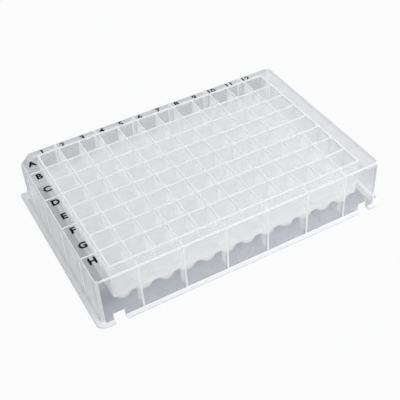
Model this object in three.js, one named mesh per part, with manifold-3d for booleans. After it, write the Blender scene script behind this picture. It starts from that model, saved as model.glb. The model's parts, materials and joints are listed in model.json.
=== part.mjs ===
// Square-well microplate, moulded in one piece: a block of open wells hangs from a
// flat deck, a skirt runs round the outside down to a base flange, and thin ribs
// tie the block to the skirt. Millimetres, +Z up. The origin is in the middle of
// the footprint on the plane the plate stands on, column 1 is at -X and row A at +Y.
import * as THREE from "three";
import { mergeVertices } from "three/addons/utils/BufferGeometryUtils.js";
import Module from "manifold-3d";

const wasm = await Module();
wasm.setup();

// ---------- driving sizes, mm ----------

// Base flange: the standard microplate footprint.
const FOOT_LENGTH = 127.76;
const FOOT_WIDTH = 85.48;
const FOOT_CORNER_R = 3.2;
const FOOT_CORNER_A1_R = 1.0;
const FLANGE_HEIGHT = 1.3;
const FLANGE_EDGE = 0.3; // small bevel on the flange's upper edge

// Well grid: the pitch is standard too, and as many whole wells are set out as leave
// this much room between the outer wells' cells and the edge of the footprint.
const PITCH = 9;
const END_ROOM = 9;
const SIDE_ROOM = 6;
const WEB = 0.8; // wall shared by two wells, at the mouth
const WELL_DRAFT = 0.25; // each side of a well closes in by this much on the way down
const MOUTH_CUT = 0.45; // corner of the square mouth
const LOWER_CUT = 0.8; // corner of the same well at the foot of its straight walls
const SHOULDER = 1; // height in which a well turns from square to round

// Heights above the plane the plate stands on.
const PLATE_HEIGHT = 23; // top of the wells
const BLOCK_RISE = 0.7; // the well block stands this much above the deck
const DECK_THICKNESS = 1;
const WELL_FLOOR = 1.1; // material under the deepest point of a well
const BOTTOM_CLEAR = 0.8; // gap between a well and the plane the plate stands on
const BOTTOM_DEPTH = 6; // height of a well's round bottom
const BOTTOM_FULLNESS = 0.8; // 1 makes the bottom half an ellipse, and less makes it fuller
const LAND = 0.2; // each well's outside is this much inside its cell where it turns round

// Walls round the block.
const BLOCK_WALL = 1;
const BLOCK_CORNER = 0.5;
const SKIRT_INSET_X = 1.93; // the skirt's foot is this much inside the flange's edge along X
const SKIRT_INSET_Y = 1.74; // and this much along Y
const SKIRT_DRAFT = 0.15; // the skirt leans in by this much
const SKIRT_WALL = 1.1;
const SKIRT_CORNER_R = 2.8;
const LEAST_CORNER_R = 0.4; // a skirt corner stays at least this round inside
const A1_CHAMFER = 5.4; // cut corner that marks well A1
const RIM_ROUND = 0.7; // rounding where the skirt meets the deck

// Ribs between block and skirt: one at every second wall between wells.
const RIB = 0.7;
const RIB_FOOT = 1.2; // height of a rib's lower edge
const RIB_BITE = 0.35; // a rib reaches this far into what it joins

// Finger notches in the long sides of the skirt, near the corners.
const NOTCH_WIDTH = 4.6;
const NOTCH_HEIGHT = 4;
const NOTCH_FROM_END = 9.13; // from the footprint's end to the middle of the notch
const NOTCH_OVERRUN = 1; // the cut runs past the walls and the base by this much

const CORNER_STEPS = 6;

// ---------- sizes that follow ----------
const footX = FOOT_LENGTH / 2;
const footY = FOOT_WIDTH / 2;
const skirtX = footX - SKIRT_INSET_X;
const skirtY = footY - SKIRT_INSET_Y;
const columns = Math.floor((FOOT_LENGTH - 2 * END_ROOM) / PITCH);
const rows = Math.floor((FOOT_WIDTH - 2 * SIDE_ROOM) / PITCH);
const wellHalf = (PITCH - WEB) / 2;
const blockX = (columns * PITCH) / 2 - WEB / 2 + BLOCK_WALL;
const blockY = (rows * PITCH) / 2 - WEB / 2 + BLOCK_WALL;
const deckTop = PLATE_HEIGHT - BLOCK_RISE;
const deckUnder = deckTop - DECK_THICKNESS;
const outsideTurn = BOTTOM_CLEAR + BOTTOM_DEPTH; // where a well's outside turns round
const insideTurn = outsideTurn + WELL_FLOOR; // and where its inside does
const wellX = (column) => (column - (columns - 1) / 2) * PITCH;
const wellY = (row) => ((rows - 1) / 2 - row) * PITCH;

// ---------- outlines ----------

// Square with its corners cut off straight: eight points, anticlockwise from above.
function cutSquare(halfX, halfY, cut, x = 0, y = 0) {
  return [
    [halfX, cut - halfY],
    [halfX, halfY - cut],
    [halfX - cut, halfY],
    [cut - halfX, halfY],
    [-halfX, halfY - cut],
    [-halfX, cut - halfY],
    [cut - halfX, -halfY],
    [halfX - cut, -halfY],
  ].map(([px, py]) => new THREE.Vector2(px + x, py + y));
}

// Square that stands on a corner: four points, anticlockwise from +X.
function diamond(half, x, y) {
  return [
    [half, 0],
    [0, half],
    [-half, 0],
    [0, -half],
  ].map(([px, py]) => new THREE.Vector2(px + x, py + y));
}

// Rectangle with round corners, each of the same number of points, anticlockwise
// from above. The corner at A1 (-X, +Y) is a chamfer, or a radius of its own.
function plateOutline(halfX, halfY, radius, { chamfer = 0, a1Radius = radius } = {}) {
  const points = [];
  [
    [1, 1],
    [-1, 1],
    [-1, -1],
    [1, -1],
  ].forEach(([sx, sy], quarter) => {
    const a1 = quarter === 1;
    if (a1 && chamfer > 0) {
      const from = new THREE.Vector2(chamfer - halfX, halfY);
      const to = new THREE.Vector2(-halfX, halfY - chamfer);
      for (let i = 0; i <= CORNER_STEPS; i++) points.push(from.clone().lerp(to, i / CORNER_STEPS));
      return;
    }
    const r = a1 ? a1Radius : radius;
    for (let i = 0; i <= CORNER_STEPS; i++) {
      const angle = ((quarter + i / CORNER_STEPS) * Math.PI) / 2;
      points.push(
        new THREE.Vector2(
          sx * (halfX - r) + r * Math.cos(angle),
          sy * (halfY - r) + r * Math.sin(angle)
        )
      );
    }
  });
  return points;
}

// ---------- a closed surface put together from rings ----------
class Shell {
  constructor() {
    this.vertices = [];
    this.triangles = [];
  }

  ring(outline, z) {
    const first = this.vertices.length;
    outline.forEach((p) => this.vertices.push([p.x, p.y, z]));
    return outline.map((_, i) => first + i);
  }

  face(a, b, c, flip) {
    this.triangles.push(flip ? [a, c, b] : [a, b, c]);
  }

  // Wall between two rings, facing away from the axis when high lies above low. The low
  // ring may have fewer points, each of which then meets several of the high ring's.
  wall(low, high, flip = false) {
    const share = high.length / low.length;
    high.forEach((b, i) => {
      const j = (i + 1) % high.length;
      const [a, next] = [i, j].map((k) => low[Math.floor(k / share)]);
      if (next !== a) this.face(a, next, high[j], flip);
      this.face(a, high[j], b, flip);
    });
  }

  // Flat face inside an outline, around holes, facing up or down.
  flat(outline, holes, up) {
    const at = (i) => new THREE.Vector2(this.vertices[i][0], this.vertices[i][1]);
    const outer = outline.map(at);
    // holes run clockwise for the triangulation
    const turned = holes.map((hole) => [...hole].reverse());
    const order = [...outline, ...turned.flat()];
    THREE.ShapeUtils.triangulateShape(
      outer,
      turned.map((hole) => hole.map(at))
    ).forEach(([a, b, c]) => {
      const [pa, pb, pc] = [order[a], order[b], order[c]].map(at);
      const left = (pb.x - pa.x) * (pc.y - pa.y) - (pb.y - pa.y) * (pc.x - pa.x) > 0;
      this.face(order[a], order[b], order[c], left !== up);
    });
  }

  solid() {
    return toSolid(this.vertices.flat(), this.triangles.flat());
  }
}

function toSolid(vertices, triangles) {
  const mesh = new wasm.Mesh({
    numProp: 3,
    vertProperties: new Float32Array(vertices),
    triVerts: new Uint32Array(triangles),
  });
  return new wasm.Manifold(mesh);
}

// A box as a solid, from two opposite corners.
function boxSolid(corner, opposite) {
  const box = new THREE.Box3().setFromPoints([
    new THREE.Vector3(...corner),
    new THREE.Vector3(...opposite),
  ]);
  const size = box.getSize(new THREE.Vector3());
  const centre = box.getCenter(new THREE.Vector3());
  const geometry = new THREE.BoxGeometry(size.x, size.y, size.z);
  geometry.translate(centre.x, centre.y, centre.z);
  geometry.deleteAttribute("normal");
  geometry.deleteAttribute("uv");
  const merged = mergeVertices(geometry);
  return toSolid(merged.attributes.position.array, merged.index.array);
}

// ---------- the block of wells ----------

// A round bottom in steps down from its rim: [share of the half width, share of the
// depth]. The last step is the edge of its flat middle.
const BOTTOM_STEPS = [36, 70]; // degrees round from the rim
const roundBottom = BOTTOM_STEPS.map((degrees) => {
  const angle = THREE.MathUtils.degToRad(degrees);
  const last = THREE.MathUtils.degToRad(BOTTOM_STEPS.at(-1));
  return [
    Math.cos(angle) ** BOTTOM_FULLNESS,
    (Math.sin(angle) / Math.sin(last)) ** BOTTOM_FULLNESS,
  ];
});
const OCTAGON_CUT = 1 - Math.tan(Math.PI / 8); // of the half width
const octagon = (half, x, y) => cutSquare(half, half, half * OCTAGON_CUT, x, y);

// Round bottom from the ring at its rim down to its flat middle.
function addBottom(shell, rim, half, turn, x, y, inside) {
  let above = rim;
  roundBottom.forEach(([share, drop], step) => {
    const last = step === roundBottom.length - 1;
    const outline = last ? diamond(half * share, x, y) : octagon(half * share, x, y);
    const next = shell.ring(outline, turn - BOTTOM_DEPTH * drop);
    shell.wall(next, above, inside);
    above = next;
  });
  shell.flat(above, [], inside);
}

// Inside of the well at x, y: straight walls, a shoulder that turns them from square to
// round, and the bottom. Gives the ring of its mouth.
function addInside(shell, x, y) {
  const half = wellHalf - WELL_DRAFT;
  const mouth = shell.ring(cutSquare(wellHalf, wellHalf, MOUTH_CUT, x, y), PLATE_HEIGHT);
  const wallFoot = shell.ring(cutSquare(half, half, LOWER_CUT, x, y), insideTurn);
  const round = shell.ring(octagon(half, x, y), insideTurn - SHOULDER);
  shell.wall(wallFoot, mouth, true);
  shell.wall(round, wallFoot, true);
  addBottom(shell, round, half, insideTurn, x, y, true);
  return mouth;
}

// Outside of the same well, of which only the bottom is free. Gives the ring of its rim.
function addOutside(shell, x, y) {
  const half = PITCH / 2 - LAND;
  const rim = shell.ring(octagon(half, x, y), outsideTurn);
  addBottom(shell, rim, half, outsideTurn, x, y, false);
  return rim;
}

function wellBlock() {
  const shell = new Shell();
  const outline = cutSquare(blockX, blockY, BLOCK_CORNER);
  const top = shell.ring(outline, PLATE_HEIGHT);
  const under = shell.ring(outline, outsideTurn);
  shell.wall(under, top);

  const mouths = [];
  const feet = [];
  for (let row = 0; row < rows; row++) {
    for (let column = 0; column < columns; column++) {
      mouths.push(addInside(shell, wellX(column), wellY(row)));
      feet.push(addOutside(shell, wellX(column), wellY(row)));
    }
  }
  shell.flat(top, mouths, true);
  shell.flat(under, feet, false);
  return shell.solid();
}

// ---------- flange, skirt and deck ----------
function skirtAndDeck() {
  const shell = new Shell();
  const flange = (inset) =>
    plateOutline(footX - inset, footY - inset, FOOT_CORNER_R - inset, {
      a1Radius: FOOT_CORNER_A1_R - inset,
    });
  const wall = (inset) =>
    plateOutline(skirtX - inset, skirtY - inset, Math.max(SKIRT_CORNER_R - inset, LEAST_CORNER_R), {
      // the chamfer keeps its own distance when the outline shrinks
      chamfer: A1_CHAMFER - inset * (2 - Math.SQRT2),
    });
  const lean = (z) => (SKIRT_DRAFT * (z - FLANGE_HEIGHT)) / (deckTop - FLANGE_HEIGHT);

  // outside, from the plane it stands on up to the deck
  const foot = shell.ring(flange(0), 0);
  let below = foot;
  const roundFrom = deckTop - RIM_ROUND;
  const rim = [0, 45, 90].map((degrees) => {
    const angle = (degrees * Math.PI) / 180;
    return [
      wall(lean(roundFrom) + RIM_ROUND * (1 - Math.cos(angle))),
      roundFrom + RIM_ROUND * Math.sin(angle),
    ];
  });
  [
    [flange(0), FLANGE_HEIGHT - FLANGE_EDGE],
    [flange(FLANGE_EDGE), FLANGE_HEIGHT],
    [wall(0), FLANGE_HEIGHT],
    ...rim,
  ].forEach(([outline, z]) => {
    const next = shell.ring(outline, z);
    shell.wall(below, next);
    below = next;
  });

  // deck, open where the block goes through it
  const throughX = blockX - BLOCK_WALL / 2;
  const throughY = blockY - BLOCK_WALL / 2;
  const throughOutline = cutSquare(throughX, throughY, BLOCK_CORNER);
  const throughTop = shell.ring(throughOutline, deckTop);
  const throughUnder = shell.ring(throughOutline, deckUnder);
  shell.flat(below, [throughTop], true);
  shell.wall(throughUnder, throughTop, true);

  // inside of the skirt
  const insideTop = shell.ring(wall(SKIRT_WALL + lean(deckUnder)), deckUnder);
  const insideFoot = shell.ring(wall(SKIRT_WALL), 0);
  shell.flat(insideTop, [throughUnder], false);
  shell.wall(insideFoot, insideTop, true);
  shell.flat(foot, [insideFoot], false);

  let solid = shell.solid();
  const innerY = skirtY - SKIRT_WALL - NOTCH_OVERRUN;
  const outerY = footY + NOTCH_OVERRUN;
  for (const side of [-1, 1]) {
    for (const end of [-1, 1]) {
      const x = end * (footX - NOTCH_FROM_END);
      const notch = boxSolid(
        [x - NOTCH_WIDTH / 2, side * innerY, -NOTCH_OVERRUN],
        [x + NOTCH_WIDTH / 2, side * outerY, NOTCH_HEIGHT]
      );
      solid = solid.subtract(notch);
    }
  }
  return solid;
}

// ---------- ribs ----------
function ribs() {
  const made = [];
  const ribTop = deckTop - DECK_THICKNESS / 2;
  const innerX = skirtX - SKIRT_WALL - SKIRT_DRAFT;
  const innerY = skirtY - SKIRT_WALL - SKIRT_DRAFT;
  for (const side of [-1, 1]) {
    for (let wall = 1; wall < columns; wall += 2) {
      const x = (wall - columns / 2) * PITCH;
      made.push(
        boxSolid(
          [x - RIB / 2, side * (blockY - RIB_BITE), RIB_FOOT],
          [x + RIB / 2, side * (innerY + RIB_BITE), ribTop]
        )
      );
    }
    for (let wall = 1; wall < rows; wall += 2) {
      const y = (wall - rows / 2) * PITCH;
      made.push(
        boxSolid(
          [side * (blockX - RIB_BITE), y - RIB / 2, RIB_FOOT],
          [side * (innerX + RIB_BITE), y + RIB / 2, ribTop]
        )
      );
    }
  }
  return made;
}

// ---------- the whole moulding ----------
let moulding = wellBlock().add(skirtAndDeck());
for (const rib of ribs()) moulding = moulding.add(rib);

const mesh = moulding.getMesh();
const geometry = new THREE.BufferGeometry();
geometry.setAttribute("position", new THREE.BufferAttribute(new Float32Array(mesh.vertProperties), 3));
geometry.setIndex(new THREE.BufferAttribute(new Uint32Array(mesh.triVerts), 1));
geometry.computeVertexNormals();

// natural polypropylene: milky, lets light through
const polypropylene = new THREE.MeshStandardMaterial({
  color: 0xe4e6ea,
  roughness: 0.4,
  metalness: 0,
});

const plate = new THREE.Mesh(geometry, polypropylene);
plate.name = "well_plate";

const microplate = new THREE.Group();
microplate.add(plate);

export default microplate;
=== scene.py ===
import json
import math
from types import SimpleNamespace

import bmesh
import bpy
import numpy as np
from mathutils import Matrix, Vector


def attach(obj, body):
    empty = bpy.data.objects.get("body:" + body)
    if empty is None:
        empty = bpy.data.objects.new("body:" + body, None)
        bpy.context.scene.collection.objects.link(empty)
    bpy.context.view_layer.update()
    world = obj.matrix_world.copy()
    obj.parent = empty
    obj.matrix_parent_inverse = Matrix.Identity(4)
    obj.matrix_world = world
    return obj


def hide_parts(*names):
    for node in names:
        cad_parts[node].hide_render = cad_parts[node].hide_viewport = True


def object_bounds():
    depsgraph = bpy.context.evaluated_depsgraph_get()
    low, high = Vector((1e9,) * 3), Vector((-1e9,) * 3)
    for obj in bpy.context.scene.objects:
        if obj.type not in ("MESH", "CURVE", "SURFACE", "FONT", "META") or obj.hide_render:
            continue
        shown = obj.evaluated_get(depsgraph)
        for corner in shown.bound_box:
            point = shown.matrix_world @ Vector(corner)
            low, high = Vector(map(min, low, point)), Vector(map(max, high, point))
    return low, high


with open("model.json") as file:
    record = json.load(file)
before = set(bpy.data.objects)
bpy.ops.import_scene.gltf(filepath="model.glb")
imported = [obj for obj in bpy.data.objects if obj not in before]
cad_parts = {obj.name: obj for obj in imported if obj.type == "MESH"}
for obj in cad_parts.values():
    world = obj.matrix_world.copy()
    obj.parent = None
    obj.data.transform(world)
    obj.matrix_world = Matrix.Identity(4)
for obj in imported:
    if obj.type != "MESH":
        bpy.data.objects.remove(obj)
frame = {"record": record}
cad_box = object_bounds()
MM = 0.001

# ---------- sizes from the frame, mm ----------
foot_x, foot_y, plate_height = (value / MM for value in cad_box[1])


def opening_middle(name):
    """Middle of one of the record's openings, in mm."""
    boxes = {o["name"]: o["box_m"] for o in frame["record"]["physics"]["openings"]}
    low, high = np.array(boxes[name])
    return (low + high) / 2 / MM


first_well = opening_middle("well_A1")
PITCH = opening_middle("well_A2")[0] - first_well[0]
COLUMNS = round(1 - 2 * first_well[0] / PITCH)
ROWS = round(1 + 2 * first_well[1] / PITCH)
grid_x = COLUMNS * PITCH / 2
grid_y = ROWS * PITCH / 2
column_x = first_well[0] + PITCH * np.arange(COLUMNS)
row_y = first_well[1] - PITCH * np.arange(ROWS)

# ---------- sizes of the moulding, mm ----------
# wells
WEB = 0.8  # wall shared by two wells, at the mouth
CELL_R = 1.3  # stretch of a cell's edge that the points of its corner take up
WELL_DRAFT = 0.25  # each side of a well closes in by this much on the way down
MOUTH_R = 0.55  # corner radius of the square mouth
LOWER_R = 1  # and at the foot of the straight walls
SHOULDER = 1  # height in which a well turns from square to round
CROWN_R = 0.25  # rounding along the tops of the walls
BOTTOM_CLEAR = 0.8  # from the base up to the round bottoms
BOTTOM_DEPTH = 6  # height of a round bottom
BOTTOM_FULLNESS = 0.8  # 1 makes the bottom half an ellipse, and less makes it fuller
WELL_FLOOR = 1.1
LAND = 0.2  # a well's outside is this much inside its cell where it turns round

# block, deck and skirt
BLOCK_WALL = 1
BLOCK_CORNER_R = 0.9
BLOCK_RISE = 0.7  # from the deck to the mouths of the wells
DECK_THICKNESS = 1
SKIRT_INSET_X = 1.93  # from the flange's edge in to the skirt
SKIRT_INSET_Y = 1.74
SKIRT_DRAFT = 0.15  # how far the skirt leans in on its way up
SKIRT_WALL = 1.1
SKIRT_CORNER_R = 2.8
LEAST_R = 0.3  # smallest corner radius of any outline
RIM_ROUND = 0.7  # rounding from the skirt to the deck
A1_CHAMFER = 5.4
CHAMFER_TURN = 45  # degrees at each end of the chamfer
A1_EDGE_R = 1.6  # rounding at both ends of the chamfer
DECK_FILLET = 0.2  # where the block rises from the deck
INNER_FILLET = 0.3

# base flange
FLANGE_HEIGHT = 1.3
FLANGE_EDGE = 0.25  # rounding of its upper edge
FLANGE_FILLET = 0.25  # where the skirt rises from it
FOOT_CORNER_R = 3.2
FOOT_CORNER_A1_R = 1.0
FOOT_EDGE = 0.12  # rounding along the base

# ribs and notches
RIB = 0.7
RIB_FOOT = 1.2  # from the base up to a rib
RIB_BITE = 0.35  # how far a rib reaches into the walls it joins
NOTCH_WIDTH = 4.6
NOTCH_HEIGHT = 4
NOTCH_FROM_END = 9.13  # middle of a notch from the plate's end
NOTCH_OVERRUN = 1  # how far the cutting boxes reach past the plastic

# steps of the mesh
CORNER_STEPS = 9  # round the corner of an outline
WELL_CORNER_STEPS = 6
WELL_SIDE_STEPS = 2
EDGE_STEPS = 3  # across a small rounding
BOTTOM_STEPS = 8  # down a round bottom
SHOULDER_STEPS = 3  # down its shoulder
MERGE_WITHIN = 0.001  # mm, for points that meet
SHARP_ANGLE = 34  # degrees, from which an edge stays sharp

# printed marks
LETTER_HEIGHT = 3.4
LETTER_X = -57.8
LETTER_SHIFT = 1.5  # towards the back of the row
LETTER_STRETCH = 1.02  # wider than the plain typeface
LETTER_WEIGHT = 0.045  # thickens the strokes, as a share of the type size
LETTER_STEPS = 6  # along each curve of an outline
NUMBER_HEIGHT = 3.0
NUMBER_Y = 38.3
NUMBER_SHIFT = -1.8  # towards the left of the column
NUMBER_STRETCH = 1.06
NUMBER_WEIGHT = 0.03
NUMBER_STEPS = 4
INK_DEPTH = 0.02
INK_GAP = 0.01  # over the deck
INK_DENSE = "#050506"
INK_THIN = "#151517"
INK_SPOTS = 0.3  # size of the thinner spots
INK_ROUGHNESS = 0.9
INK_SPECULAR = 0.05

# ---------- looks ----------
# Haze is the share of the light that one face of a wall scatters.
MILK = "#ffffff"
SHELL_HAZE = 0.11  # of the skirt and the deck
FOOT_HAZE = 0.16  # of the skirt near its foot
FOOT_FADE = (3, 15)  # mm above the base
BLOCK_HAZE = 0.26  # of the walls between wells
OUTER_HAZE = 0.18  # of the walls round the block
BOTTOM_HAZE = 0.75  # of the round bottoms, which are thicker
BOTTOM_FADE = (8, 14)  # mm above the base
END_HAZE = 0.4  # and of their ends, which look soft from the side
END_FADE = (0.5, 3)  # mm above the base
PAINTED_LIGHT_DECK_HAZE = 0.26  # of the deck at the back and at the right, raised as painted light where it catches the light
RIB_HAZE = 0.1
RIB_CLEAR = 0.01  # of a rib's lower part
THICK_HAZE = 0.85  # of edges, crossings and other thick places
CROWN_SHARE = 0.95  # tops of the walls are less hazy than other thick places
POST_SHARE = 0.7
RIB_SHARE = 0.75  # and so are the lines of the ribs
FLANGE_SHARE_RIGHT = 0.25
RIB_SHARE_ENDS = 0.25  # on the short sides, and on the deck at the right
CLOUDING = 0.2  # spread of the haze from place to place
CLOUD_SIZE = 4  # mm
GRAIN_SIZE = 0.7  # mm, of the mould's fine texture, drawn coarser than it is so that it shows
GRAIN_DEPTH = 0.005  # mm
THIN_BACKLIT = 0.75  # share of the scattered light that goes on to the other side
THICK_BACKLIT = 0.3
EVEN_BLEND = 0.5  # makes Layer Weight's Facing one minus the cosine of the slant
LEAST_COSINE = 0.05  # of the slant at which a wall is seen; a flatter view is no longer
SHELL_COSINE = 0.22  # and of the outer shell
ROUND_PATH = 1.5  # way through a round bottom seen straight on; it goes to nothing at its edge
SLANT_FADE = (5, 9)  # mm above the base, from round bottoms to flat walls
PAINTED_GAP_REFLECTION = "#a0a4aa"  # painted reflection: a grey for the shaded gap round the block, which its walls mirror at a flat angle
PAINTED_GAP_REFLECTION_STRENGTH = 1.6  # strength of that painted reflection
PAINTED_GAP_REFLECTION_FADE = (14, 20)  # mm above the base
PP_IOR = 1.49
PP_ROUGHNESS = 0.25
PP_SHINE = 0.35
MILK_SPECULAR = 0.2

# where the haze changes, mm
CROWN_LINE = 0.22  # down the top of a wall
POST_LINE = 0.6  # from the middle of a wall, where two walls cross
RIM_LINE = 0.95  # in from the skirt's outside
RIM_DROP = 0.4  # down from the deck
CORNER_LINE = 1.6  # in from the skirt's outside
RIB_LINE = 0.42  # from the middle of a rib to the side of the line it draws
RIB_SIDES = 0.55  # and to where its own haze ends
RIB_END = 0.6  # in from the skirt's outside
RIB_TOP = 0.3  # down from the deck
FLANGE_LINE = 0.35  # above the base
FLANGE_FROM_X = 0.1  # out from the skirt at the short sides
FLANGE_FROM_Y = 0.35  # and at the long sides
SHELL_FROM = 0.3  # out from the block
DECK_DROP = 0.2  # down from the deck's underside
LINE_BLUR = 0.2
SHELL_BLUR = 0.3
MARGIN = 0.1  # by which a mask reaches past the faces it is for

# studio
FLOOR_PAPER = "#f3f5f8"
FLOOR_PAINTED_SHADOW = "#8f97a5"  # painted shadow of the plate on the paper under it, seen through the plate
FLOOR_OPEN = "#a2a8b0"  # and beside it
FLOOR_FADE = 4  # mm
FLOOR_WHITE = 0.95
FLOOR_ROUGHNESS = 0.9
FLOOR_SPECULAR = 0.1
FLOOR_SIZE = 6  # metres
FLOOR_GAP = 0.15  # mm under the plate
WHITE = "#ffffff"
WORLD_COLOUR = "#f8faff"
WORLD_STRENGTH = (0.08, 0.88)  # from the left and from the right
SOFT_BOXES = [  # name, place in metres, size in metres, watts
    ("key_light", (0.3, -0.45, 0.7), 0.6, 4.2),
    ("back_light", (0.62, 0.72, 0.62), 0.5, 1.0),
]
MOST_BOUNCES = 48  # light is scattered from wall to wall many times before it leaves the block
MOST_SCATTERED = 32
MOST_CLEAR = 64  # faces that light may pass straight through

# ---------- camera ----------
CAMERA_ANGLES = (-26.55, 42.45, -3.67)  # azimuth, elevation and roll, degrees
CAMERA_AIM = (-10.33, -23.04, 23)  # mm
CAMERA_DISTANCE = 292.31  # mm
CAMERA_LENS = 69.36  # mm on a 36 mm film
CAMERA_NEAR = 0.001  # metres

# sizes that follow
well_half = (PITCH - WEB) / 2
block_x = grid_x - WEB / 2 + BLOCK_WALL
block_y = grid_y - WEB / 2 + BLOCK_WALL
skirt_x = foot_x - SKIRT_INSET_X
skirt_y = foot_y - SKIRT_INSET_Y
deck_top = plate_height - BLOCK_RISE
deck_under = deck_top - DECK_THICKNESS
outside_turn = BOTTOM_CLEAR + BOTTOM_DEPTH
inside_turn = outside_turn + WELL_FLOOR


# ---------- meshes ----------
def new_object(name, mesh):
    piece = bpy.data.objects.new(name, mesh)
    bpy.context.scene.collection.objects.link(piece)
    return piece


def mesh_from_quads(name, points, quads):
    """Mesh from an array of points in mm and one of quads; points that meet are merged,
    so a quad with two equal corners becomes a triangle."""
    mesh = bpy.data.meshes.new(name)
    mesh.from_pydata((points * MM).tolist(), [], quads.tolist())
    work = bmesh.new()
    work.from_mesh(mesh)
    bmesh.ops.remove_doubles(work, verts=work.verts, dist=MERGE_WITHIN * MM)
    work.to_mesh(mesh)
    work.free()
    return mesh


def loft(rings):
    """Quads between neighbouring rings of an array (ring, point, xyz), each ring joined to
    the next point by point; the faces look away from the axis as the rings go down."""
    rings = np.asarray(rings)
    count, size, _ = rings.shape
    here = np.arange(count - 1)[:, None] * size + np.arange(size)[None, :]
    beside = np.arange(count - 1)[:, None] * size + (np.arange(size)[None, :] + 1) % size
    quads = np.stack([here, here + size, beside + size, beside], axis=-1).reshape(-1, 4)
    return rings.reshape(-1, 3), quads


def arc(middle, radius, start, end, steps):
    """Points round a circle from one angle to another, in degrees."""
    angle = np.radians(np.linspace(start, end, steps + 1))
    return np.stack([middle[0] + radius * np.cos(angle), middle[1] + radius * np.sin(angle)], axis=1)


def ring_at(outline, z):
    """Outline in the plane at height z."""
    return np.column_stack([outline, np.full(len(outline), z)])


# ---------- outlines of the plate ----------
def cell_outline(half, radius, sharp=False):
    """Square with round corners, anticlockwise. With sharp, the points of each corner are
    pushed out from its middle to the sides of the square."""
    corners = []
    for quarter in range(4):
        start = 90 * quarter
        middle = (half - radius) * np.array([[1, 1], [-1, 1], [-1, -1], [1, -1]][quarter])
        turn = arc((0, 0), 1, start, start + 90, WELL_CORNER_STEPS)
        if sharp:
            turn = turn / np.abs(turn).max(axis=1, keepdims=True)
        corners.append(middle + radius * turn)
    parts = []
    for quarter in range(4):
        last, following = corners[quarter][-1], corners[(quarter + 1) % 4][0]
        share = np.arange(1, WELL_SIDE_STEPS)[:, None] / WELL_SIDE_STEPS
        parts += [corners[quarter], last + (following - last) * share]
    return np.concatenate(parts)


# A side of the well grid is divided at the same places as the cells' own edges.
cell_edge = cell_outline(PITCH / 2, CELL_R, sharp=True)
on_side = cell_edge[np.isclose(cell_edge[:, 1], PITCH / 2)][:, 0]
edge_places = np.unique(np.round(on_side, 6))


def side_shares(count):
    """Places of the cells' points along a side of the grid, from 1 down to -1, without its ends."""
    middles = (np.arange(count) - (count - 1) / 2) * PITCH
    places = np.unique(np.round((middles[:, None] + edge_places[None, :]).ravel(), 6))
    return (places / (count * PITCH / 2))[::-1][1:-1]


def plate_outline(half_x, half_y, radius, a1=None):
    """Rectangle with round corners, anticlockwise from the +X +Y corner. The corner at A1,
    the second one, may be given its own points."""
    turns = []
    for quarter, (sx, sy) in enumerate([(1, 1), (-1, 1), (-1, -1), (1, -1)]):
        middle = (sx * (half_x - radius), sy * (half_y - radius))
        turns.append(arc(middle, radius, 90 * quarter, 90 * quarter + 90, CORNER_STEPS))
    if a1 is not None:
        turns[1] = a1
    parts = []
    for quarter in range(4):
        start, end = turns[quarter][-1], turns[(quarter + 1) % 4][0]
        shares = side_shares(COLUMNS if quarter % 2 == 0 else ROWS)[:, None]
        parts += [turns[quarter], start + (end - start) * (1 - shares) / 2]
    return np.concatenate(parts)


def grid_ring(z):
    """Edge of the whole grid of cells, its corners brought to a point."""
    return ring_at(plate_outline(grid_x, grid_y, 0), z)


def block_ring(inset, z):
    """Outline of the block of wells."""
    radius = max(BLOCK_CORNER_R - inset, LEAST_R)
    return ring_at(plate_outline(block_x - inset, block_y - inset, radius), z)


def skirt_ring(inset, z):
    """Outline of the skirt, its corner at A1 cut straight and rounded at both ends of the cut.
    An inset shortens the cut by inset * (2 - root of 2), so that the wall there stays as thick."""
    half_x, half_y = skirt_x - inset, skirt_y - inset
    cut = A1_CHAMFER - inset * (2 - math.sqrt(2))
    radius = max(A1_EDGE_R - inset, LEAST_R)
    tangent = radius * math.tan(math.radians(CHAMFER_TURN / 2))
    half_steps = (CORNER_STEPS - 1) // 2
    a1 = np.concatenate([
        arc((cut + tangent - half_x, half_y - radius), radius, 90, 90 + CHAMFER_TURN, half_steps),
        arc((radius - half_x, half_y - cut - tangent), radius, 180 - CHAMFER_TURN, 180, half_steps),
    ])
    return ring_at(plate_outline(half_x, half_y, max(SKIRT_CORNER_R - inset, LEAST_R), a1), z)


def flange_ring(inset, z):
    """Outline of the base flange, whose corner at A1 has a small radius of its own."""
    half_x, half_y = foot_x - inset, foot_y - inset
    radius = FOOT_CORNER_A1_R - inset
    a1 = arc((radius - half_x, half_y - radius), radius, 90, 180, CORNER_STEPS)
    return ring_at(plate_outline(half_x, half_y, FOOT_CORNER_R - inset, a1), z)


def rounding(radius, start, end):
    """(inset, height) pairs round a quarter of a circle: angle 0 is outermost, 90 is on top."""
    angle = np.radians(np.linspace(start, end, EDGE_STEPS + 1))
    return zip(radius * (1 - np.cos(angle)), radius * np.sin(angle))


# ---------- the moulding ----------
def lean(z):
    """How far the skirt has leant in at height z."""
    return SKIRT_DRAFT * (z - FLANGE_HEIGHT) / (deck_top - FLANGE_HEIGHT)


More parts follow.
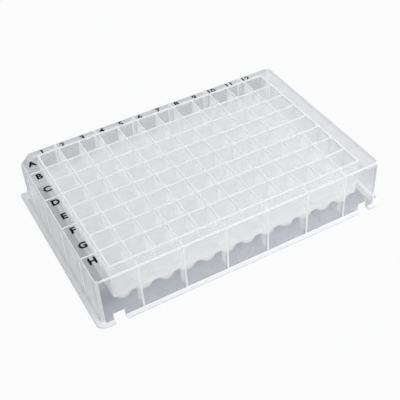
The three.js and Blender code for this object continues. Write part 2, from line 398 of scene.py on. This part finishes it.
def shell_rings():
    """The section of the plate carried round it: from the edge of the well grid over the
    block's wall, deck, rim, skirt and flange, and back inside to the grid's underside."""
    rings = [grid_ring(plate_height)]
    crown = plate_height - CROWN_R
    rings += [block_ring(d, crown + h) for d, h in rounding(CROWN_R, 90, 0)]
    rings += [block_ring(-d, deck_top + DECK_FILLET - h) for d, h in rounding(DECK_FILLET, 0, 90)]
    rim = deck_top - RIM_ROUND
    rings += [skirt_ring(lean(rim) + d, rim + h) for d, h in rounding(RIM_ROUND, 90, 0)]
    fillet = FLANGE_HEIGHT + FLANGE_FILLET
    rings += [skirt_ring(-d, fillet - h) for d, h in rounding(FLANGE_FILLET, 0, 90)]
    edge = FLANGE_HEIGHT - FLANGE_EDGE
    rings += [flange_ring(d, edge + h) for d, h in rounding(FLANGE_EDGE, 90, 0)]
    rings += [flange_ring(d, FOOT_EDGE - h) for d, h in rounding(FOOT_EDGE, 0, 90)]
    rings += [skirt_ring(SKIRT_WALL - FOOT_EDGE + d, h) for d, h in rounding(FOOT_EDGE, 0, 90)]
    top = deck_under - INNER_FILLET
    rings += [skirt_ring(SKIRT_WALL + lean(top) + d, top + h) for d, h in rounding(INNER_FILLET, 0, 90)]
    rings += [block_ring(-d, top + h) for d, h in rounding(INNER_FILLET, 90, 0)]
    turn = outside_turn + CROWN_R
    rings += [block_ring(d, turn - h) for d, h in rounding(CROWN_R, 0, 90)]
    rings.append(grid_ring(outside_turn))
    return rings


def bottom_width(half, drop):
    """Half width of a round bottom at a drop below its rim: (width / half) and (drop / depth),
    each to the power 2 / fullness, add up to 1."""
    power = 2 / BOTTOM_FULLNESS
    return half * (1 - (drop / BOTTOM_DEPTH) ** power) ** (1 / power)


def bottom_rings(half, turn, start=0):
    """Circles down a round bottom, from below a drop to the point at its end."""
    angle = np.linspace(0, np.pi / 2, BOTTOM_STEPS + 1)[1:]
    drops = BOTTOM_DEPTH * np.sin(angle) ** BOTTOM_FULLNESS
    widths = bottom_width(half, drops)
    return [ring_at(cell_outline(w, w), turn - d) for w, d in zip(widths, drops) if d > start]


def well_rings():
    """Inside of a well, from the edge of its cell over the crown of its wall and down its
    straight sides; in the shoulder the corner radius grows smoothly to that of a circle."""
    crown = plate_height - CROWN_R
    rings = [ring_at(cell_edge, plate_height)]
    for inset, height in rounding(CROWN_R, 90, 0):
        rings.append(ring_at(cell_outline(well_half + inset, MOUTH_R + inset), crown + height))
    low = well_half - WELL_DRAFT
    for share in np.arange(SHOULDER_STEPS + 1) / SHOULDER_STEPS:
        width = bottom_width(low, share * SHOULDER)
        radius = LOWER_R + (width - LOWER_R) * share * share * (3 - 2 * share)
        rings.append(ring_at(cell_outline(width, radius), inside_turn - share * SHOULDER))
    return rings + bottom_rings(low, inside_turn, SHOULDER)


def foot_rings():
    """Outside of a well's round bottom, from the edge of its cell."""
    half = PITCH / 2 - LAND
    rings = [ring_at(cell_edge, outside_turn), ring_at(cell_outline(half, half), outside_turn)]
    return rings + bottom_rings(half, outside_turn)


def on_every_cell(points, quads):
    """The same piece of surface at every cell of the grid."""
    x, y = np.meshgrid(column_x, row_y)
    places = np.stack([x.ravel(), y.ravel(), np.zeros(x.size)], axis=1)
    moved = points[None, :, :] + places[:, None, :]
    counted = quads[None, :, :] + len(points) * np.arange(len(places))[:, None, None]
    return moved.reshape(-1, 3), counted.reshape(-1, 4)


def join_surfaces(*surfaces):
    """Several (points, quads) as one."""
    starts = np.cumsum([0] + [len(points) for points, _ in surfaces])
    points = np.concatenate([points for points, _ in surfaces])
    return points, np.concatenate([quads + start for (_, quads), start in zip(surfaces, starts)])


def boxes_surface(boxes):
    """Closed boxes from their low and high corners."""
    low, high = np.array(boxes, float).transpose(1, 0, 2)
    unit = np.array([(x, y, z) for z in (0, 1) for y in (0, 1) for x in (0, 1)])
    points = low[:, None, :] + (high - low)[:, None, :] * unit[None, :, :]
    faces = np.array([(0, 2, 3, 1), (4, 5, 7, 6), (0, 1, 5, 4), (2, 6, 7, 3), (0, 4, 6, 2), (1, 3, 7, 5)])
    quads = faces[None, :, :] + 8 * np.arange(len(low))[:, None, None]
    return points.reshape(-1, 3), quads.reshape(-1, 4)


def rib_boxes():
    """Ribs between block and skirt, at every second wall between wells."""
    top = deck_top - DECK_THICKNESS / 2
    inner_x = skirt_x - SKIRT_WALL - SKIRT_DRAFT + RIB_BITE
    inner_y = skirt_y - SKIRT_WALL - SKIRT_DRAFT + RIB_BITE
    boxes = []
    for side in (-1, 1):
        for x in column_x[:-1:2] + PITCH / 2:
            ends = sorted([side * (block_y - RIB_BITE), side * inner_y])
            boxes.append([(x - RIB / 2, ends[0], RIB_FOOT), (x + RIB / 2, ends[1], top)])
        for y in row_y[:-1:2] - PITCH / 2:
            ends = sorted([side * (block_x - RIB_BITE), side * inner_x])
            boxes.append([(ends[0], y - RIB / 2, RIB_FOOT), (ends[1], y + RIB / 2, top)])
    return boxes


def notch_boxes():
    """Finger notches in the long sides of the skirt, near the corners."""
    boxes = []
    for side in (-1, 1):
        for end in (-1, 1):
            x = end * (foot_x - NOTCH_FROM_END)
            inner, outer = skirt_y - SKIRT_WALL - NOTCH_OVERRUN, foot_y + NOTCH_OVERRUN
            y = sorted([side * inner, side * outer])
            low = (x - NOTCH_WIDTH / 2, y[0], -NOTCH_OVERRUN)
            boxes.append([low, (x + NOTCH_WIDTH / 2, y[1], NOTCH_HEIGHT)])
    return boxes


def boolean_with(piece, operation, tool_mesh):
    """Joins a closed mesh to the piece, or cuts it away."""
    tool = new_object("tool", tool_mesh)
    modifier = piece.modifiers.new(operation, "BOOLEAN")
    modifier.operation = operation
    modifier.solver = "MANIFOLD"
    modifier.object = tool
    evaluated = piece.evaluated_get(bpy.context.evaluated_depsgraph_get())
    mesh = bpy.data.meshes.new_from_object(evaluated)
    piece.modifiers.clear()
    piece.data = mesh
    bpy.data.objects.remove(tool)


def flipped(surface):
    """The same surface facing the other way."""
    points, quads = surface
    return points, quads[:, ::-1]


def make_moulding():
    """The whole moulding: shell, wells and their round bottoms as one closed surface, the ribs
    joined to it and the finger notches cut out."""
    surface = join_surfaces(
        loft(shell_rings()),
        on_every_cell(*flipped(loft(well_rings()))),
        on_every_cell(*loft(foot_rings())),
    )
    piece = new_object("plate_moulding", mesh_from_quads("plate_moulding", *surface))
    boolean_with(piece, "UNION", mesh_from_quads("ribs", *boxes_surface(rib_boxes())))
    boolean_with(piece, "DIFFERENCE", mesh_from_quads("notches", *boxes_surface(notch_boxes())))
    smooth_except_edges(piece)
    return piece


def smooth_except_edges(piece):
    """Smooth shading that keeps flat faces flat, with sharp edges left sharp."""
    piece.data.polygons.foreach_set("use_smooth", np.ones(len(piece.data.polygons), bool))
    piece.data.set_sharp_from_angle(angle=math.radians(SHARP_ANGLE))
    modifier = piece.modifiers.new("flat_faces", "WEIGHTED_NORMAL")
    modifier.keep_sharp = True


# ---------- printed marks ----------
def printed_text(marks, height, stretch, weight, steps):
    """Flat meshes of several words lying on the deck. Marks are (word, x, y) in mm, the height
    is that of a capital letter, stretch widens the letters and weight thickens their strokes."""
    meshes = []
    for word, x, y in marks:
        curve = bpy.data.curves.new(word, "FONT")
        curve.body = word
        curve.align_x = "CENTER"
        curve.align_y = "CENTER"
        curve.size = 1
        curve.offset = weight
        curve.extrude = 0
        curve.resolution_u = steps
        text = new_object(word, curve)
        evaluated = text.evaluated_get(bpy.context.evaluated_depsgraph_get())
        mesh = bpy.data.meshes.new_from_object(evaluated)
        bpy.data.objects.remove(text)
        points = np.empty(len(mesh.vertices) * 3)
        mesh.vertices.foreach_get("co", points)
        points = points.reshape(-1, 3)
        middle = (points.max(axis=0) + points.min(axis=0)) / 2
        scale = height / (points[:, 1].max() - points[:, 1].min())
        points = (points - middle) * (scale * stretch, scale, 0)
        points += (x, y, deck_top + INK_GAP)
        mesh.vertices.foreach_set("co", (points * MM).ravel())
        meshes.append(mesh)
    return meshes


def make_marks(name, marks, height, stretch, weight, steps):
    """One piece of several printed words, with the depth of the ink."""
    work = bmesh.new()
    for mesh in printed_text(marks, height, stretch, weight, steps):
        work.from_mesh(mesh)
    mesh = bpy.data.meshes.new(name)
    work.to_mesh(mesh)
    work.free()
    piece = new_object(name, mesh)
    solid = piece.modifiers.new("ink_depth", "SOLIDIFY")
    solid.thickness = INK_DEPTH * MM
    solid.offset = 1
    return piece


def row_marks():
    """A to H beside the rows."""
    return [("ABCDEFGH"[row], LETTER_X, y + LETTER_SHIFT) for row, y in enumerate(row_y)]


def column_marks():
    """1 to 12 behind the columns."""
    return [(str(column + 1), x + NUMBER_SHIFT, NUMBER_Y) for column, x in enumerate(column_x)]


# ---------- materials ----------
def linear(code):
    """Linear colour from an sRGB hex code."""
    parts = [int(code[i:i + 2], 16) / 255 for i in (1, 3, 5)]
    return tuple(((c + 0.055) / 1.055) ** 2.4 if c > 0.04045 else c / 12.92 for c in parts) + (1,)


def add(tree, kind, inputs, **settings):
    """Adds a node. Settings are its properties; inputs give each named or numbered socket
    a value, or the node or output that feeds it."""
    node = tree.nodes.new(kind)
    for name, value in settings.items():
        setattr(node, name, value)
    for name, value in inputs.items():
        if isinstance(value, bpy.types.Node):
            value = value.outputs[0]
        if isinstance(value, bpy.types.NodeSocket):
            tree.links.new(value, node.inputs[name])
        else:
            node.inputs[name].default_value = value
    return node


MATH = "ShaderNodeMath"
MIX = "ShaderNodeMix"
RANGE = "ShaderNodeMapRange"
SMOOTH = {"interpolation_type": "SMOOTHSTEP"}


def new_material(name):
    material = bpy.data.materials.new(name)
    material.use_nodes = True
    material.node_tree.nodes.clear()
    return material, material.node_tree


def edge(low, width):
    """Settings of a range that rises from 0 to 1 round a place in mm."""
    return {"From Min": (low - width / 2) * MM, "From Max": (low + width / 2) * MM}


def between(heights):
    """Settings of a range that rises from 0 to 1 between two places in mm."""
    return {"From Min": heights[0] * MM, "From Max": heights[1] * MM}


def masks_along(tree, place, grid, block, skirt, flange):
    """Masks from the place along one axis. The sizes are the half widths in mm of the well
    grid, the block and the skirt, and how far out from the skirt the flange is hazy. Walls
    between wells lie one pitch apart. Every second one has a rib, and to_rib grows from 0 at
    the walls without one to a pitch at those with one."""
    far = add(tree, MATH, {0: place}, operation="ABSOLUTE")
    from_wall = add(tree, MATH, {0: place, 1: PITCH / 2 * MM}, operation="PINGPONG")
    to_rib = add(tree, MATH, {0: place, 1: PITCH * MM}, operation="PINGPONG")
    ranges = {
        "post": (from_wall, {**edge(POST_LINE, LINE_BLUR), "To Min": 1, "To Max": 0}),
        "rib": (to_rib, edge(PITCH - RIB_SIDES, LINE_BLUR)),
        "rib_line": (to_rib, edge(PITCH - RIB_LINE, LINE_BLUR)),
        "rib_start": (far, edge(block - RIB_BITE - MARGIN, MARGIN)),
        "rib_end": (far, edge(skirt - RIB_END, LINE_BLUR)),
        "shell": (far, edge(block + SHELL_FROM, SHELL_BLUR)),
        "rim": (far, edge(skirt - RIM_LINE, LINE_BLUR)),
        "corner": (far, edge(skirt - CORNER_LINE, LINE_BLUR)),
        "flange": (far, edge(skirt + flange, LINE_BLUR)),
    }
    masks = SimpleNamespace()
    for name, (value, settings) in ranges.items():
        setattr(masks, name, add(tree, RANGE, {"Value": value, **settings}, **SMOOTH))
    wall_from = block - BLOCK_WALL - WELL_DRAFT - MARGIN
    masks.wall = add(tree, MATH, {0: far, 1: wall_from * MM}, operation="GREATER_THAN")
    masks.within = add(tree, MATH, {0: far, 1: (grid - PITCH / 2) * MM}, operation="LESS_THAN")
    return masks


def rib_masks(tree, x, y, deck, past_right):
    """Ribs, and the lines that they draw where they meet the skirt and the deck. The lines are
    fainter on the short sides and on the deck at the right."""
    across_x = add(tree, MATH, {0: x.rib_start, 1: y.rib}, operation="MULTIPLY")
    across_y = add(tree, MATH, {0: y.rib_start, 1: x.rib}, operation="MULTIPLY")
    ribs = add(tree, MATH, {0: across_x, 1: across_y}, operation="MAXIMUM")
    sides = add(tree, MATH, {0: x.rib_end, 1: y.rib_end}, operation="MAXIMUM")
    skin = add(tree, MATH, {0: sides, 1: deck}, operation="MAXIMUM")
    lines_x = add(tree, MATH, {0: x.shell, 1: y.rib_line}, operation="MULTIPLY")
    lines_y = add(tree, MATH, {0: y.shell, 1: x.rib_line}, operation="MULTIPLY")
    lines = add(tree, MATH, {0: lines_x, 1: lines_y}, operation="MAXIMUM")
    line_ends = add(tree, MATH, {0: lines, 1: skin}, operation="MULTIPLY")
    below_deck = add(tree, MATH, {0: 1, 1: deck}, operation="SUBTRACT")
    at_ends = add(tree, MATH, {0: x.rib_end, 1: below_deck}, operation="MULTIPLY")
    faint = add(tree, MATH, {0: at_ends, 1: past_right}, operation="MAXIMUM")
    strength = add(tree, RANGE, {"Value": faint, "To Min": RIB_SHARE, "To Max": RIB_SHARE_ENDS})
    rib_lines = add(tree, MATH, {0: line_ends, 1: strength}, operation="MULTIPLY")
    return ribs, rib_lines


def crown_mask(tree, z):
    """Tops of the walls between wells."""
    top = {**edge(plate_height - CROWN_LINE, LINE_BLUR), "To Max": CROWN_SHARE}
    return add(tree, RANGE, {"Value": z, **top}, **SMOOTH)


def post_mask(tree, x, y):
    """Posts where two walls between wells cross."""
    crossing = add(tree, MATH, {0: x.post, 1: y.post}, operation="MULTIPLY")
    within = add(tree, MATH, {0: x.within, 1: y.within}, operation="MULTIPLY")
    posts = add(tree, MATH, {0: crossing, 1: within}, operation="MULTIPLY")
    return add(tree, MATH, {0: posts, 1: POST_SHARE}, operation="MULTIPLY")


def rim_masks(tree, x, y, z):
    """Rim of the deck, and the upright corners of the skirt."""
    side = add(tree, MATH, {0: x.rim, 1: y.rim}, operation="MAXIMUM")
    top = add(tree, RANGE, {"Value": z, **edge(deck_top - RIM_DROP, LINE_BLUR)}, **SMOOTH)
    rim = add(tree, MATH, {0: side, 1: top}, operation="MULTIPLY")
    corners = add(tree, MATH, {0: x.corner, 1: y.corner}, operation="MULTIPLY")
    return rim, corners


def flange_mask(tree, x, y, z, place_x):
    """Flange above its lower edge, clearer at the right."""
    right_half = add(tree, MATH, {0: place_x, 1: 0}, operation="GREATER_THAN")
    share = add(tree, RANGE, {"Value": right_half, "To Min": 1, "To Max": FLANGE_SHARE_RIGHT})
    past_x = add(tree, MATH, {0: x.flange, 1: share}, operation="MULTIPLY")
    past = add(tree, MATH, {0: past_x, 1: y.flange}, operation="MAXIMUM")
    above_edge = add(tree, RANGE, {"Value": z, **edge(FLANGE_LINE, LINE_BLUR)}, **SMOOTH)
    return add(tree, MATH, {0: past, 1: above_edge}, operation="MULTIPLY")


def moulding_masks(tree):
    """The place on the moulding, its height z, and masks that follow from them: thick is 1
    where the plastic is thick or is seen end on, shell outside the block of wells, walls on
    the walls round the block, ends on those at its short ends, painted_light_deck on the deck at the
    back and at the right, whose haze is raised there as painted light, and ribs on the ribs."""
    place = add(tree, "ShaderNodeTexCoord", {}).outputs["Object"]
    place_x, place_y, z = add(tree, "ShaderNodeSeparateXYZ", {0: place}).outputs
    x = masks_along(tree, place_x, grid_x, block_x, skirt_x, FLANGE_FROM_X)
    y = masks_along(tree, place_y, grid_y, block_y, skirt_y, FLANGE_FROM_Y)

    shell = add(tree, MATH, {0: x.shell, 1: y.shell}, operation="MAXIMUM")
    walls = add(tree, MATH, {0: x.wall, 1: y.wall}, operation="MAXIMUM")
    ends = add(tree, MATH, {0: x.wall, 1: shell}, operation="SUBTRACT", use_clamp=True)
    past_right = add(tree, MATH, {0: place_x, 1: block_x * MM}, operation="GREATER_THAN")
    past_back = add(tree, MATH, {0: place_y, 1: block_y * MM}, operation="GREATER_THAN")
    far_side = add(tree, MATH, {0: past_right, 1: past_back}, operation="MAXIMUM")
    slab = add(tree, RANGE, {"Value": z, **edge(deck_under - DECK_DROP, LINE_BLUR)}, **SMOOTH)
    painted_light_deck = add(tree, MATH, {0: far_side, 1: slab}, operation="MULTIPLY")

    deck = add(tree, RANGE, {"Value": z, **edge(deck_top - RIB_TOP, LINE_BLUR)}, **SMOOTH)
    ribs, rib_lines = rib_masks(tree, x, y, deck, past_right)
    rim, corners = rim_masks(tree, x, y, z)
    thick = crown_mask(tree, z)
    for part in (post_mask(tree, x, y), rib_lines, rim, corners, flange_mask(tree, x, y, z, place_x)):
        thick = add(tree, MATH, {0: thick, 1: part}, operation="MAXIMUM")
    return SimpleNamespace(
        place=place, z=z, thick=thick, shell=shell, walls=walls, ends=ends, painted_light_deck=painted_light_deck, ribs=ribs)


def haze_at(tree, masks):
    """Haze from the place: a cloudy veil in the thin walls, less on the ribs, much more in the
    round bottoms, and nearly all the light at the thick places."""
    foot = {**between(FOOT_FADE), "To Min": FOOT_HAZE, "To Max": SHELL_HAZE}
    skirt = add(tree, RANGE, {"Value": masks.z, **foot}, **SMOOTH)
    above_end = add(tree, RANGE, {"Value": masks.z, **between(END_FADE)}, **SMOOTH)
    bottom = add(tree, RANGE, {"Value": above_end, "To Min": END_HAZE, "To Max": BOTTOM_HAZE})
    above_bottom = add(tree, RANGE, {"Value": masks.z, **between(BOTTOM_FADE)}, **SMOOTH)
    wall = add(tree, RANGE, {"Value": masks.walls, "To Min": BLOCK_HAZE, "To Max": OUTER_HAZE})
    block = add(tree, MIX, {0: above_bottom, 2: bottom, 3: wall})
    # painted light: more haze on the deck at the back and at the right, where it catches the light
    skin = add(tree, MIX, {0: masks.painted_light_deck, 2: skirt, 3: PAINTED_LIGHT_DECK_HAZE})
    thin = add(tree, MIX, {0: masks.shell, 2: block, 3: skin})
    cloud_scale = 1 / (CLOUD_SIZE * MM)
    clouds = add(tree, "ShaderNodeTexNoise", {"Vector": masks.place, "Scale": cloud_scale, "Detail": 2})
    more = add(tree, RANGE, {"Value": clouds, "To Min": 1 - CLOUDING, "To Max": 1 + CLOUDING})
    cloudy = add(tree, MATH, {0: thin, 1: more}, operation="MULTIPLY")
    rib = add(tree, RANGE, {"Value": above_end, "To Min": RIB_CLEAR, "To Max": RIB_HAZE})
    plain = add(tree, MIX, {0: masks.ribs, 2: cloudy, 3: rib})
    return add(tree, MIX, {0: masks.thick, 2: plain, 3: THICK_HAZE})


def share_passed(tree, masks, haze):
    """Share of the light that passes a face: (1 - haze) to the power of the way through it. In
    a flat wall the way is 1 / cosine of the slant, up to a longest one. In a round bottom it
    shrinks with the cosine instead, so that the outlines of the bottoms are soft."""
    passed = add(tree, MATH, {0: 1, 1: haze}, operation="SUBTRACT")
    slant = add(tree, "ShaderNodeLayerWeight", {"Blend": EVEN_BLEND})
    cosine = add(tree, MATH, {0: 1, 1: slant.outputs["Facing"]}, operation="SUBTRACT")
    above = add(tree, RANGE, {"Value": masks.z, **between(SLANT_FADE)}, **SMOOTH)
    flat = add(tree, MATH, {0: above, 1: masks.shell}, operation="MAXIMUM")
    flattest = add(tree, RANGE, {"Value": masks.shell, "To Min": LEAST_COSINE, "To Max": SHELL_COSINE})
    least = add(tree, MATH, {0: cosine, 1: flattest}, operation="MAXIMUM")
    flat_path = add(tree, MATH, {0: 1, 1: least}, operation="DIVIDE")
    round_path = add(tree, MATH, {0: cosine, 1: ROUND_PATH}, operation="MULTIPLY")
    path = add(tree, MIX, {0: flat, 2: round_path, 3: flat_path})
    return add(tree, MATH, {0: passed, 1: path}, operation="POWER")


def painted_gap_reflection_share(tree, masks, mirror, inner_side):
    """How much painted reflection of the gap's shade the end walls of the block show: the more,
    the flatter they are seen and the lower the place, and on their outer side only."""
    fade = {**between(PAINTED_GAP_REFLECTION_FADE), "To Min": PAINTED_GAP_REFLECTION_STRENGTH, "To Max": 0}
    low = add(tree, RANGE, {"Value": masks.z, **fade}, **SMOOTH)
    front = add(tree, MATH, {0: masks.ends, 1: inner_side}, operation="SUBTRACT", use_clamp=True)
    low_front = add(tree, MATH, {0: low, 1: front}, operation="MULTIPLY")
    return add(tree, MATH, {0: mirror, 1: low_front}, operation="MULTIPLY", use_clamp=True)


def shine_share(tree, masks, mirror, inner_side):
    """How much a face mirrors: on the outer side of a wall only, and not on the ribs."""
    outside = add(tree, MATH, {0: PP_SHINE, 1: inner_side}, operation="SUBTRACT", use_clamp=True)
    off_ribs = add(tree, MATH, {0: 1, 1: masks.ribs}, operation="SUBTRACT")
    shown = add(tree, MATH, {0: outside, 1: off_ribs}, operation="MULTIPLY")
    return add(tree, MATH, {0: mirror, 1: shown}, operation="MULTIPLY")


def milky_polypropylene():
    """Natural polypropylene, injection moulded: crystals in it scatter the light, so a thin
    wall is a veil of milk over what lies behind it, thicker at a slant, and many walls one
    behind the other are nearly white. Edges, crossings and ribs seen end on are whitest."""
    material, tree = new_material("milky_polypropylene")
    masks = moulding_masks(tree)
    clear = share_passed(tree, masks, haze_at(tree, masks))

    grain_scale = 1 / (GRAIN_SIZE * MM)
    grain = add(tree, "ShaderNodeTexNoise", {"Vector": masks.place, "Scale": grain_scale, "Detail": 1})
    surface = add(tree, "ShaderNodeBump", {"Height": grain, "Distance": GRAIN_DEPTH * MM})
    front = add(tree, "ShaderNodeBsdfPrincipled", {
        "Base Color": linear(MILK), "Roughness": PP_ROUGHNESS, "IOR": PP_IOR,
        "Specular IOR Level": MILK_SPECULAR, "Normal": surface})
    back = add(tree, "ShaderNodeBsdfTranslucent", {"Color": linear(MILK)})
    backlit = add(tree, RANGE, {"Value": masks.thick, "To Min": THIN_BACKLIT, "To Max": THICK_BACKLIT})
    milk = add(tree, "ShaderNodeMixShader", {0: backlit, 1: front, 2: back})
    through = add(tree, "ShaderNodeBsdfTransparent", {})
    body = add(tree, "ShaderNodeMixShader", {0: clear, 1: milk, 2: through})

    mirror = add(tree, "ShaderNodeFresnel", {"IOR": PP_IOR})
    inner_side = add(tree, "ShaderNodeNewGeometry", {}).outputs["Backfacing"]
    # painted reflection: a matt grey stands in for the shaded gap that the block's end walls mirror at a
    # flat angle
    painted_gap_reflection_shader = add(tree, "ShaderNodeBsdfDiffuse", {"Color": linear(PAINTED_GAP_REFLECTION)})
    painted_gap_reflection_amount = painted_gap_reflection_share(tree, masks, mirror, inner_side)
    body = add(tree, "ShaderNodeMixShader", {0: painted_gap_reflection_amount, 1: body, 2: painted_gap_reflection_shader})
    shine = add(tree, "ShaderNodeBsdfGlossy", {"Roughness": PP_ROUGHNESS, "Normal": surface})
    shiny = shine_share(tree, masks, mirror, inner_side)
    coated = add(tree, "ShaderNodeMixShader", {0: shiny, 1: body, 2: shine})
    add(tree, "ShaderNodeOutputMaterial", {"Surface": coated})
    return material


def marking_ink():
    """Black pad-printing ink, a thin matt film that lies a little thinner in small spots."""
    material, tree = new_material("marking_ink")
    place = add(tree, "ShaderNodeTexCoord", {}).outputs["Object"]
    spots = add(tree, "ShaderNodeTexNoise", {"Vector": place, "Scale": 1 / (INK_SPOTS * MM)})
    colour = add(tree, MIX, {0: spots, 6: linear(INK_DENSE), 7: linear(INK_THIN)}, data_type="RGBA")
    ink = add(tree, "ShaderNodeBsdfPrincipled", {
        "Base Color": colour.outputs[2], "Roughness": INK_ROUGHNESS, "Specular IOR Level": INK_SPECULAR})
    add(tree, "ShaderNodeOutputMaterial", {"Surface": ink})
    return material


def studio_floor():
    """Matt paper sweep. It is plain white where it is seen directly, apart from a faint shadow,
    and where it is mirrored. Seen through the plastic it is a pale blue-grey, with a painted
    shadow that makes it darker under the plate than beside it. All other light meets nearly white paper."""
    material, tree = new_material("studio_floor")
    ray = add(tree, "ShaderNodeLightPath", {}).outputs
    camera = ray["Is Camera Ray"]
    place = add(tree, "ShaderNodeTexCoord", {}).outputs["Object"]
    x, y, _ = add(tree, "ShaderNodeSeparateXYZ", {0: place}).outputs
    far_x = add(tree, MATH, {0: x}, operation="ABSOLUTE")
    far_y = add(tree, MATH, {0: y}, operation="ABSOLUTE")
    past_x = add(tree, RANGE, {"Value": far_x, **edge(foot_x, FLOOR_FADE)})
    past_y = add(tree, RANGE, {"Value": far_y, **edge(foot_y, FLOOR_FADE)})
    beside = add(tree, MATH, {0: past_x, 1: past_y}, operation="MAXIMUM")
    # painted shadow: seen through the plastic, the paper under the plate is given a darker colour than
    # beside it
    painted_shadow_and_open_paper = add(tree, MIX, {0: beside, 6: linear(FLOOR_PAINTED_SHADOW), 7: linear(FLOOR_OPEN)}, data_type="RGBA")
    colour = add(tree, MIX, {
        0: camera, 6: linear(FLOOR_PAPER), 7: painted_shadow_and_open_paper.outputs[2]}, data_type="RGBA")
    paper = add(tree, "ShaderNodeBsdfPrincipled", {
        "Base Color": colour.outputs[2], "Roughness": FLOOR_ROUGHNESS,
        "Specular IOR Level": FLOOR_SPECULAR})
    white = add(tree, "ShaderNodeEmission", {"Strength": 1})
    bare = add(tree, MATH, {0: ray["Transparent Depth"], 1: 0.5}, operation="LESS_THAN")
    direct = add(tree, MATH, {0: camera, 1: bare}, operation="MULTIPLY")
    clean = add(tree, MATH, {0: direct, 1: ray["Is Glossy Ray"]}, operation="MAXIMUM")
    clean = add(tree, MATH, {0: clean, 1: ray["Is Transmission Ray"]}, operation="MAXIMUM")
    share = add(tree, MATH, {0: clean, 1: FLOOR_WHITE}, operation="MULTIPLY")
    seen = add(tree, "ShaderNodeMixShader", {0: share, 1: paper, 2: white})
    add(tree, "ShaderNodeOutputMaterial", {"Surface": seen})
    return material


# ---------- studio ----------
def make_floor():
    """Large sheet of paper just under the plate."""
    half = FLOOR_SIZE / 2
    z = -FLOOR_GAP * MM
    corners = [(-half, -half, z), (half, -half, z), (half, half, z), (-half, half, z)]
    mesh = bpy.data.meshes.new("floor")
    mesh.from_pydata(corners, [], [(0, 1, 2, 3)])
    floor = new_object("floor", mesh)
    mesh.materials.append(studio_floor())


def make_world():
    """Soft light all round, dimmer from the left, which is plain white to the camera and in a
    mirror. Light that the milk scatters on to its other side counts as transmitted and as
    diffuse, and it meets the soft light."""
    world = bpy.data.worlds.new("studio")
    bpy.context.scene.world = world
    world.use_nodes = True
    tree = world.node_tree
    tree.nodes.clear()
    place = add(tree, "ShaderNodeTexCoord", {}).outputs["Generated"]
    x = add(tree, "ShaderNodeSeparateXYZ", {0: place})
    dim, bright = WORLD_STRENGTH
    rise = {"From Min": -1, "From Max": 1, "To Min": dim, "To Max": bright}
    strength = add(tree, RANGE, {"Value": x, **rise})
    around = add(tree, "ShaderNodeBackground", {"Color": linear(WORLD_COLOUR), "Strength": strength})
    white = add(tree, "ShaderNodeBackground", {"Color": linear(WHITE), "Strength": 1})
    ray = add(tree, "ShaderNodeLightPath", {}).outputs
    either = {0: ray["Is Glossy Ray"], 1: ray["Is Transmission Ray"]}
    mirrored = add(tree, MATH, either, operation="MAXIMUM")
    sharp = add(tree, MATH, {0: mirrored, 1: ray["Is Diffuse Ray"]}, operation="SUBTRACT", use_clamp=True)
    clean = add(tree, MATH, {0: ray["Is Camera Ray"], 1: sharp}, operation="MAXIMUM")
    seen = add(tree, "ShaderNodeMixShader", {0: clean, 1: around, 2: white})
    add(tree, "ShaderNodeOutputWorld", {"Surface": seen})


def make_lamps():
    """Square soft boxes, turned towards the plate."""
    for name, place, size, power in SOFT_BOXES:
        lamp = bpy.data.lights.new(name, "AREA")
        lamp.shape = "SQUARE"
        lamp.size = size
        lamp.energy = power
        holder = new_object(name, lamp)
        holder.location = place
        holder.rotation_euler = (-Vector(place)).to_track_quat("-Z", "Y").to_euler()


def make_camera():
    """Camera from its aim, its angles round it and its distance."""
    azimuth, elevation, roll = (math.radians(a) for a in CAMERA_ANGLES)
    level_reach = math.cos(elevation)
    back = Vector((
        math.sin(azimuth) * level_reach, -math.cos(azimuth) * level_reach, math.sin(elevation)))
    level = Vector((0, 0, 1)).cross(back).normalized()
    upright = back.cross(level)
    right = math.cos(roll) * level + math.sin(roll) * upright
    up = math.cos(roll) * upright - math.sin(roll) * level
    place = Matrix((right, up, back)).transposed().to_4x4()
    place.translation = (Vector(CAMERA_AIM) + back * CAMERA_DISTANCE) * MM
    data = bpy.data.cameras.new("camera")
    data.lens = CAMERA_LENS
    data.clip_start = CAMERA_NEAR
    camera = new_object("camera", data)
    camera.matrix_world = place
    bpy.context.scene.camera = camera


make_camera()
make_floor()
make_world()
make_lamps()
bpy.context.scene.view_settings.view_transform = "Standard"
light_paths = bpy.context.scene.cycles
light_paths.max_bounces = MOST_BOUNCES
light_paths.diffuse_bounces = MOST_SCATTERED
light_paths.transparent_max_bounces = MOST_CLEAR

moulding = make_moulding()
moulding.data.materials.clear()
moulding.data.materials.append(milky_polypropylene())
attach(moulding, "root")
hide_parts("well_plate")

ink = marking_ink()
for marks in (
    make_marks("row_letters", row_marks(), LETTER_HEIGHT, LETTER_STRETCH, LETTER_WEIGHT, LETTER_STEPS),
    make_marks("column_numbers", column_marks(), NUMBER_HEIGHT, NUMBER_STRETCH, NUMBER_WEIGHT, NUMBER_STEPS),
):
    marks.data.materials.append(ink)
    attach(marks, "root")
